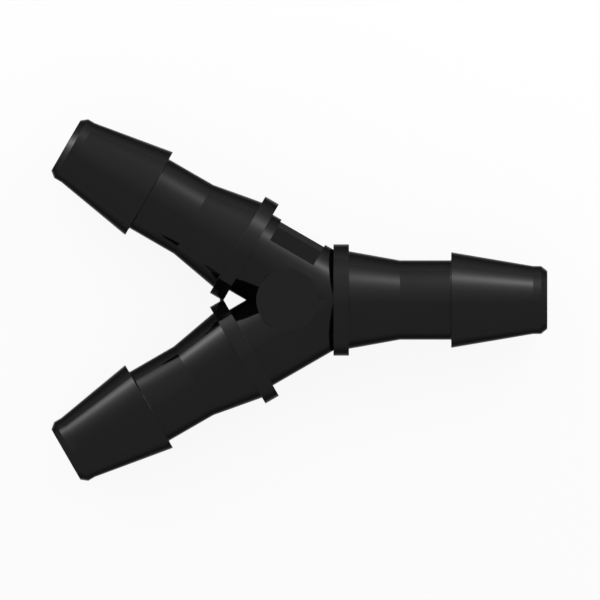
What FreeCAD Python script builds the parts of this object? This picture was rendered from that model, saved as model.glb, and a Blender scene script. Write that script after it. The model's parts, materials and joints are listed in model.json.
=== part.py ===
import FreeCAD, Part
import math
import os

# A moulded barbed Y fitting for soft tubing, lying flat on its three collars.
# Lengths are in millimetres and angles in degrees. The stem points along +X, the legs lie at
# leg_angle above and below -X, and the mould parts in the level plane of the three axes.

# How the three arms are set
leg_angle = 30.0
leg_collar_distance = 7.61      # from where the axes meet to the hub side of a leg's collar

# Collar, which stops the tubing
collar_diameter = 8.92
collar_thickness = 1.24
collar_edge_radius = 0.02

# Cone and neck between the collar and the barb
root_diameter = 7.82
root_length = 4.08
root_fillet = 0.03
neck_diameter = 6.35            # the bore of the tubing, a quarter of an inch
neck_length = 4.10

# Barb and tip
barb_diameter = 7.66
barb_length = 6.56
barb_edge_radius = 0.04
barb_fillet = 0.08
tip_diameter = 5.44
tip_length = 0.64
tip_chamfer_length = 0.49
tip_end_diameter = 4.66
tip_edge_radius = 0.12

# Bore through every arm
bore_diameter = 3.60
mouth_chamfer = 0.12

# Hub: two round tubes, with a round pad on the front and the back
hub_tube_diameter = 7.0
pad_diameter = 5.0
pad_distance = 3.68             # from where the axes meet to the middle of the pad
pad_rise = 0.02                 # how far the pad stands over the tubes

# Gate pocket in the outer side of one leg, around the tab where the plastic came in
pocket_start = 2.78             # from where the axes meet, along the leg
pocket_length = 4.02
pocket_inner_offset = 1.60      # from the leg's axis to the pocket's inner wall
tab_offset = 3.30               # from the leg's axis to the outer face of the tab
tab_height = 3.30
tab_chamfer = 0.46

# Web that joins the two leg collars where their rims meet
web_thickness = 0.30
web_overlap = 0.40              # how far it runs past each collar's rim
web_height = 1.60

collar_radius = collar_diameter / 2
hub_radius = hub_tube_diameter / 2
bore_radius = bore_diameter / 2
arm_length = (
    collar_thickness + root_length + neck_length + barb_length + tip_length + tip_chamfer_length
)
upper_leg_turn = 180 - leg_angle
lower_leg_turn = 180 + leg_angle

meeting_point = FreeCAD.Vector(0, 0, 0)
along_stem = FreeCAD.Vector(1, 0, 0)
upward = FreeCAD.Vector(0, 0, 1)


def turned_about_meeting_point(shape, turn):
    """A copy of a shape built along +X, swung level to point along an arm."""
    swung = shape.copy()
    swung.rotate(meeting_point, upward, turn)
    return swung


def rounded_face(corners):
    """A level face from corners (distance, radius, rounding), each rounded by its own arc.

    The seam of a body turned from it lies level too, where the mould parts.
    """
    points = [FreeCAD.Vector(distance, radius, 0) for distance, radius, rounding in corners]
    roundings = [rounding for distance, radius, rounding in corners]
    arcs = []
    for i, corner in enumerate(points):
        back = (points[i - 1] - corner).normalize()
        ahead = (points[(i + 1) % len(points)] - corner).normalize()
        half_angle = back.getAngle(ahead) / 2
        tangent_length = roundings[i] / math.tan(half_angle)
        depth = roundings[i] / math.sin(half_angle) - roundings[i]
        middle = corner + (back + ahead) * (depth / (2 * math.cos(half_angle)))
        arcs.append((corner + back * tangent_length, middle, corner + ahead * tangent_length))
    edges = []
    for i, (arc_start, middle, arc_end) in enumerate(arcs):
        last_end = arcs[i - 1][2]
        edges.append(Part.LineSegment(last_end, arc_start).toShape())
        if roundings[i] > 0:
            edges.append(Part.Arc(arc_start, middle, arc_end).toShape())
    return Part.Face(Part.Wire(edges))


def arm_corners(collar_start):
    """Corners of an arm's outline, from the rim of its collar to the middle of its end."""
    collar_end = collar_start + collar_thickness
    neck_start = collar_end + root_length
    barb_start = neck_start + neck_length
    tip_start = barb_start + barb_length
    chamfer_start = tip_start + tip_length
    arm_end = collar_start + arm_length
    return [
        (collar_start, collar_radius, collar_edge_radius),
        (collar_end, collar_radius, collar_edge_radius),
        (collar_end, root_diameter / 2, root_fillet),
        (neck_start, neck_diameter / 2, 0),
        (barb_start, neck_diameter / 2, barb_fillet),
        (barb_start, barb_diameter / 2, barb_edge_radius),
        (tip_start, tip_diameter / 2, 0),
        (chamfer_start, tip_diameter / 2, 0),
        (arm_end, tip_end_diameter / 2, tip_edge_radius),
        (arm_end, 0, 0),
    ]


def stem():
    """The stem, whose collar begins where the three axes meet."""
    outline = [(0, 0, 0)] + arm_corners(0)
    return rounded_face(outline).revolve(meeting_point, along_stem, 360)


def leg():
    """A leg along +X with its hub tube, which runs back far enough to reach the stem's collar."""
    tube_start = -hub_radius * math.tan(math.radians(leg_angle)) - collar_thickness
    tube = [
        (tube_start, 0, 0),
        (tube_start, hub_radius, 0),
        (leg_collar_distance, hub_radius, 0),
    ]
    outline = tube + arm_corners(leg_collar_distance)
    return rounded_face(outline).revolve(meeting_point, along_stem, 360)


def stem_side_room():
    """The space past the middle of the stem's collar, which the hub tubes stay out of."""
    reach = 2 * (hub_tube_diameter + leg_collar_distance)
    corner = FreeCAD.Vector(collar_thickness / 2, -reach / 2, -reach / 2)
    return Part.makeBox(reach, reach, reach, corner)


def pads():
    """The round pads on the front and the back, as one post through the hub."""
    height = hub_tube_diameter + 2 * pad_rise
    base = FreeCAD.Vector(-pad_distance, 0, -height / 2)
    return Part.makeCylinder(pad_diameter / 2, height, base, upward)


def collar_web():
    """The small web between the rims of the leg collars, behind their hub sides."""
    slope = math.radians(leg_angle)
    hub_side = -leg_collar_distance / math.cos(slope)
    rim_offset = leg_collar_distance * math.sin(slope) - collar_radius * math.cos(slope)
    half_width = abs(rim_offset) + web_overlap
    corner = FreeCAD.Vector(hub_side - web_thickness, -half_width, -web_height / 2)
    return Part.makeBox(web_thickness, 2 * half_width, web_height, corner)


def gate_pocket():
    """The room cleared around the gate tab, for a leg along +X with its outer side at -Y."""
    margin = hub_radius
    corner = FreeCAD.Vector(pocket_start, -hub_radius - margin, -hub_radius - margin)
    depth = hub_radius + margin - pocket_inner_offset
    room = Part.makeBox(pocket_length, depth, 2 * (hub_radius + margin), corner)
    section = [
        (-pocket_inner_offset, -tab_height / 2),
        (-tab_offset + tab_chamfer, -tab_height / 2),
        (-tab_offset, -tab_height / 2 + tab_chamfer),
        (-tab_offset, tab_height / 2 - tab_chamfer),
        (-tab_offset + tab_chamfer, tab_height / 2),
        (-pocket_inner_offset, tab_height / 2),
    ]
    points = [FreeCAD.Vector(pocket_start, y, z) for y, z in section]
    face = Part.Face(Part.makePolygon(points + points[:1]))
    tab = face.extrude(along_stem * pocket_length)
    return room.cut(tab)


def bore(collar_start):
    """The bore of an arm along +X, with the chamfer at its mouth."""
    mouth = collar_start + arm_length
    channel = Part.makeCylinder(bore_radius, mouth, meeting_point, along_stem)
    chamfer_base = along_stem * (mouth - mouth_chamfer)
    chamfer = Part.makeCone(
        bore_radius, bore_radius + mouth_chamfer, mouth_chamfer, chamfer_base, along_stem
    )
    return channel.fuse(chamfer)


def y_connector():
    """The whole fitting, one moulded piece, with its axes meeting at the origin."""
    upper_leg = turned_about_meeting_point(leg(), upper_leg_turn)
    lower_leg = turned_about_meeting_point(leg(), lower_leg_turn)
    legs = upper_leg.fuse(lower_leg).cut(stem_side_room())
    outside = legs.fuse([stem(), pads(), collar_web()])
    bores = bore(0).fuse([
        turned_about_meeting_point(bore(leg_collar_distance), upper_leg_turn),
        turned_about_meeting_point(bore(leg_collar_distance), lower_leg_turn),
    ])
    pocket = turned_about_meeting_point(gate_pocket(), upper_leg_turn)
    return outside.cut([pocket, bores]).removeSplitter()


def set_on_surface(shape):
    """A copy with the origin under the middle of its outline, on the surface it lies on."""
    box = shape.optimalBoundingBox(False)
    placed = shape.copy()
    placed.translate(FreeCAD.Vector(-box.Center.x, -box.Center.y, -box.ZMin))
    return placed


os.makedirs("parts", exist_ok=True)
fitting = set_on_surface(y_connector())
fitting.exportStep("parts/y_connector_body.step")
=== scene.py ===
import json
import math

import bmesh
import bpy
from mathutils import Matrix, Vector


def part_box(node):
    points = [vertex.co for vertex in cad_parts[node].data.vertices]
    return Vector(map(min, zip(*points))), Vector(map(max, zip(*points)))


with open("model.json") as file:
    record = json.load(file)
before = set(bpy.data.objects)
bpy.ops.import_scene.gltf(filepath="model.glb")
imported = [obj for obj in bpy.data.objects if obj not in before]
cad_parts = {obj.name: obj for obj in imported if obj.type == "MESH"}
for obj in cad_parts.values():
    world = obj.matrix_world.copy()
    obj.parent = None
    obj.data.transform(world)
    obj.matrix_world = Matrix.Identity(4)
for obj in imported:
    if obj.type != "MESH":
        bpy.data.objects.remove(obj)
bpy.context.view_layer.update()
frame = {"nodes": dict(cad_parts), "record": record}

# The fitting: a stem, two legs and their hub, shot in one piece of black nylon through a gate on
# the upper leg. The mould parts level with the three bores, and its polished steel leaves a smooth
# dark gloss, so nothing is done to the fitting afterwards but snapping off the runner.

fitting = frame["nodes"]["y_connector_body"]
fitting_low, fitting_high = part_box("y_connector_body")
parting_height = (fitting_low.z + fitting_high.z) / 2

nylon_black = 0.0202
nylon_gloss = 0.9               # held back at the rims by the edge tint
nylon_edge_tint = 0.435
nylon_roughness = 0.07

streak_size = 0.0035            # the streaks that the plastic leaves as it fills the mould
streak_shade = 0.04
patch_size = 0.0012             # where the mould's steel is a little smoother or duller
patch_roughness = 0.02
grain_size = 0.00016
grain_depth = 0.0000002

parting_width = 0.00007
parting_step = 0.000010
core_radius = 0.0021            # the pins that shape the bores leave no parting line

gate_along_leg = 0.00479        # from where the bores meet
gate_off_axis = 0.0033
gate_radius = 0.0005
gate_torn_size = 0.00012
gate_torn_depth = 0.00003
gate_roughness = 0.55


class Wire:
    """One output of a shader node, on which Python's operators add Math nodes."""

    def __init__(self, socket):
        self.socket = socket

    def node(self, kind, settings, inputs, output=0):
        """Any other node of the same shader: its settings first, then its sockets."""
        tree = self.socket.id_data
        made = tree.nodes.new(kind)
        for name, value in settings.items():
            setattr(made, name, value)
        for name, value in inputs.items():
            if isinstance(value, Wire):
                tree.links.new(value.socket, made.inputs[name])
            else:
                made.inputs[name].default_value = value
        return Wire(made.outputs[output])

    def maths(self, operation, first, second=0.0):
        return self.node("ShaderNodeMath", {"operation": operation}, {0: first, 1: second})

    def __add__(self, other):
        return self.maths("ADD", self, other)

    def __radd__(self, other):
        return self.maths("ADD", other, self)

    def __sub__(self, other):
        return self.maths("SUBTRACT", self, other)

    def __rsub__(self, other):
        return self.maths("SUBTRACT", other, self)

    def __rtruediv__(self, other):
        return self.maths("DIVIDE", other, self)

    def __mul__(self, other):
        return self.maths("MULTIPLY", self, other)

    def __rmul__(self, other):
        return self.maths("MULTIPLY", other, self)

    def __or__(self, other):
        return self.maths("MAXIMUM", self, other)

    def __gt__(self, other):
        return self.maths("GREATER_THAN", self, other)

    def __abs__(self):
        return self.maths("ABSOLUTE", self)

    def vector(self, operation, other=(0.0, 0.0, 0.0), output="Vector"):
        settings = {"operation": operation}
        return self.node("ShaderNodeVectorMath", settings, {0: self, 1: other}, output)

    def fade(self, start, end):
        """1 up to start, falling smoothly to 0 at end."""
        return self.node(
            "ShaderNodeMapRange",
            {"interpolation_type": "SMOOTHSTEP"},
            {"Value": self, "From Min": start, "From Max": end, "To Min": 1.0, "To Max": 0.0},
        )

    def noise(self, size, detail):
        """Noise from -1 to 1 at this point, with patches of a size in metres."""
        scales = {"Vector": self, "Scale": 1 / size, "Detail": detail}
        return 2 * self.node("ShaderNodeTexNoise", {}, scales) - 1


def parting_line(point, bores_meet, bore_axes):
    """1 on the level line where the mould's halves meet, outside the bores, and 0 elsewhere."""
    height = point.node("ShaderNodeSeparateXYZ", {}, {0: point}, "Z")
    line = abs(height - parting_height).fade(0.0, parting_width)
    away = point.vector("SUBTRACT", bores_meet)
    for axis in bore_axes:
        ahead = away.vector("DOT_PRODUCT", axis, "Value") > 0.0
        off_axis = away.vector("CROSS_PRODUCT", axis).vector("LENGTH", output="Value")
        line = line * (1 - ahead * off_axis.fade(core_radius, core_radius + parting_width))
    return line


def black_nylon(bores_meet, bore_axes, gate):
    """Black nylon as it comes out of the mould, with the gate's torn stub on it."""
    material = bpy.data.materials.new("black_nylon")
    material.use_nodes = True
    tree = material.node_tree
    shader = tree.nodes["Principled BSDF"]
    shader.inputs["Metallic"].default_value = nylon_gloss
    shader.inputs["Specular IOR Level"].default_value = 0.0
    shader.inputs["Specular Tint"].default_value = (*[nylon_edge_tint] * 3, 1)

    point = Wire(tree.nodes.new("ShaderNodeTexCoord").outputs["Object"])
    parting = parting_line(point, bores_meet, bore_axes)
    off_gate = point.vector("SUBTRACT", gate).vector("LENGTH", output="Value")
    stub = off_gate.fade(gate_radius, gate_radius + parting_width)

    black = nylon_black * (1 + streak_shade * point.noise(streak_size, detail=3.0))
    colour = black.node("ShaderNodeCombineColor", {}, {0: black, 1: black, 2: black})
    tree.links.new(colour.socket, shader.inputs["Base Color"])

    skin = nylon_roughness + patch_roughness * point.noise(patch_size, detail=2.0)
    roughness = skin + stub * (gate_roughness - skin)
    tree.links.new(roughness.socket, shader.inputs["Roughness"])

    grain = grain_depth * point.noise(grain_size, detail=1.0)
    torn = gate_torn_depth * stub * point.noise(gate_torn_size, detail=2.0)
    relief = grain + torn + parting_step * parting
    bump = relief.node("ShaderNodeBump", {}, {"Distance": 1.0, "Height": relief})
    tree.links.new(bump.socket, shader.inputs["Normal"])
    return material


millimetre = 0.001
mounts = {mount["name"]: mount for mount in frame["record"]["mounts"]}
stem_bore = mounts["stem_bore"]
stem_axis = Vector(stem_bore["axis"])
upper_leg_axis = Vector(mounts["upper_leg_bore"]["axis"])
lower_leg_axis = Vector(mounts["lower_leg_bore"]["axis"])
half_stem_bore = stem_bore["dims"]["length_mm"] / 2 * millimetre
bores_meet = Vector(stem_bore["pos_m"]) - stem_axis * half_stem_bore

outward = upper_leg_axis.cross(Vector((0, 0, 1)))
gate = bores_meet + upper_leg_axis * gate_along_leg + outward * gate_off_axis

nylon = black_nylon(bores_meet, [stem_axis, upper_leg_axis, lower_leg_axis], gate)
fitting.data.materials.clear()
fitting.data.materials.append(nylon)
for triangle in fitting.data.polygons:
    triangle.material_index = 0

# The table: a plain white board that the fitting lies on. It takes the fitting's soft shadow. Most
# of it shows as pure white to the camera, and a smaller part of it does so in the fitting's gloss.

table_width = 0.4
table_white = 0.8
table_roughness = 0.9

white_to_camera = 0.9           # the share of the board and the room that shows as plain white
white_in_gloss = 0.2            # and the share that does so in the fitting's gloss


def white_share(rays):
    """How much of the board or the room is plain white to a ray of this kind."""
    seen = (Wire(rays["Is Camera Ray"]) | Wire(rays["Is Transmission Ray"])) * white_to_camera
    return seen | Wire(rays["Is Glossy Ray"]) * white_in_gloss


def white_board():
    material = bpy.data.materials.new("white_board")
    material.use_nodes = True
    tree = material.node_tree
    shader = tree.nodes["Principled BSDF"]
    shader.inputs["Base Color"].default_value = (table_white, table_white, table_white, 1)
    shader.inputs["Roughness"].default_value = table_roughness
    shader.inputs["Specular IOR Level"].default_value = 0.0
    share = white_share(tree.nodes.new("ShaderNodeLightPath").outputs)
    white = share.node("ShaderNodeEmission", {}, {"Color": (1, 1, 1, 1), "Strength": 1.0})
    board = Wire(shader.outputs["BSDF"])
    shown = share.node("ShaderNodeMixShader", {}, {0: share, 1: board, 2: white})
    tree.links.new(shown.socket, tree.nodes["Material Output"].inputs["Surface"])
    return material


board = bmesh.new()
bmesh.ops.create_grid(board, x_segments=1, y_segments=1, size=table_width / 2)
table = bpy.data.objects.new("table", bpy.data.meshes.new("table"))
board.to_mesh(table.data)
board.free()
table.data.materials.append(white_board())
bpy.context.scene.collection.objects.link(table)

# The studio: one round soft lamp over the stem's upper side and a second one low beyond the upper
# leg, each bright in the middle and fading out to its rim. They stand in an even white room, whose
# ceiling is a little lighter to that side, and the fitting's gloss shows the fades as they are.

lamps = {
    "key_lamp": {
        "azimuth": 55.27,
        "elevation": 27.61,
        "reach": 0.08026,
        "core": 0.1718,
        "glow": 6.79,
    },
    "side_lamp": {
        "azimuth": 138.79,
        "elevation": 10.13,
        "reach": 0.11015,
        "core": 0.1555,
        "glow": 8.34,
    },
}
lamp_spread = 2.0               # a lamp's radius in reaches, as its core's radius is above

room_light = 0.64
ceiling_light = 0.18
ceiling_azimuth = 90.0
ceiling_elevation = 70.0
ceiling_inner = 6.0             # degrees from its middle at which it starts to fade
ceiling_outer = 32.0            # and at which it is gone


def pointing(azimuth, elevation):
    """The direction at an azimuth, from +X towards +Y, and an elevation, both in degrees."""
    turn, rise = math.radians(azimuth), math.radians(elevation)
    level = math.cos(rise)
    return Vector((level * math.cos(turn), level * math.sin(turn), math.sin(rise)))


def soft_lamp(name, azimuth, elevation, reach, core, glow):
    """A disc lamp that faces the middle of the fitting and glows most in its core."""
    towards = pointing(azimuth, elevation)
    middle = towards * reach + Vector((0, 0, parting_height))
    radius = lamp_spread * reach
    lamp = bpy.data.lights.new(name, "AREA")
    lamp.shape = "DISK"
    lamp.size = 2 * radius
    lamp.energy = math.pi ** 2 * radius ** 2        # at which a strength of 1 shows as white
    lamp.use_nodes = True
    tree = lamp.node_tree
    point = Wire(tree.nodes.new("ShaderNodeNewGeometry").outputs["Position"])
    off_core = point.vector("DISTANCE", middle, "Value") * (1 / (core * reach))
    at_rim = 1 / (1 + (lamp_spread / core) ** 2)
    strength = glow * (1 / (1 + off_core * off_core) - at_rim)
    tree.links.new(strength.socket, tree.nodes["Emission"].inputs["Strength"])
    holder = bpy.data.objects.new(name, lamp)
    holder.location = middle
    holder.rotation_mode = "QUATERNION"
    holder.rotation_quaternion = towards.to_track_quat("Z", "Y")
    holder.visible_camera = False
    bpy.context.scene.collection.objects.link(holder)


def white_room():
    room = bpy.data.worlds.new("white_room")
    room.use_nodes = True
    tree = room.node_tree
    direction = Wire(tree.nodes.new("ShaderNodeTexCoord").outputs["Generated"])
    patch = pointing(ceiling_azimuth, ceiling_elevation)
    ceiling = direction.vector("DOT_PRODUCT", patch, "Value")
    inner, outer = math.cos(math.radians(ceiling_inner)), math.cos(math.radians(ceiling_outer))
    light = room_light + ceiling_light * ceiling.fade(inner, outer)
    strength = light + white_share(tree.nodes.new("ShaderNodeLightPath").outputs) * (1 - light)
    tree.nodes["Background"].inputs["Color"].default_value = (1, 1, 1, 1)
    tree.links.new(strength.socket, tree.nodes["Background"].inputs["Strength"])
    return room


for name, facts in lamps.items():
    soft_lamp(name, **facts)
bpy.context.scene.world = white_room()

# The camera: it looks straight down on the fitting, with the stem to the right. It has no
# perspective, because the photo shows none.

view_width = 0.048
view_middle = (0.00005, 0.0)
view_height = 0.2

camera_data = bpy.data.cameras.new("camera")
camera_data.type = "ORTHO"
camera_data.ortho_scale = view_width
camera = bpy.data.objects.new("camera", camera_data)
camera.location = (*view_middle, view_height)
bpy.context.scene.collection.objects.link(camera)
bpy.context.scene.camera = camera
bpy.context.scene.view_settings.view_transform = "Standard"
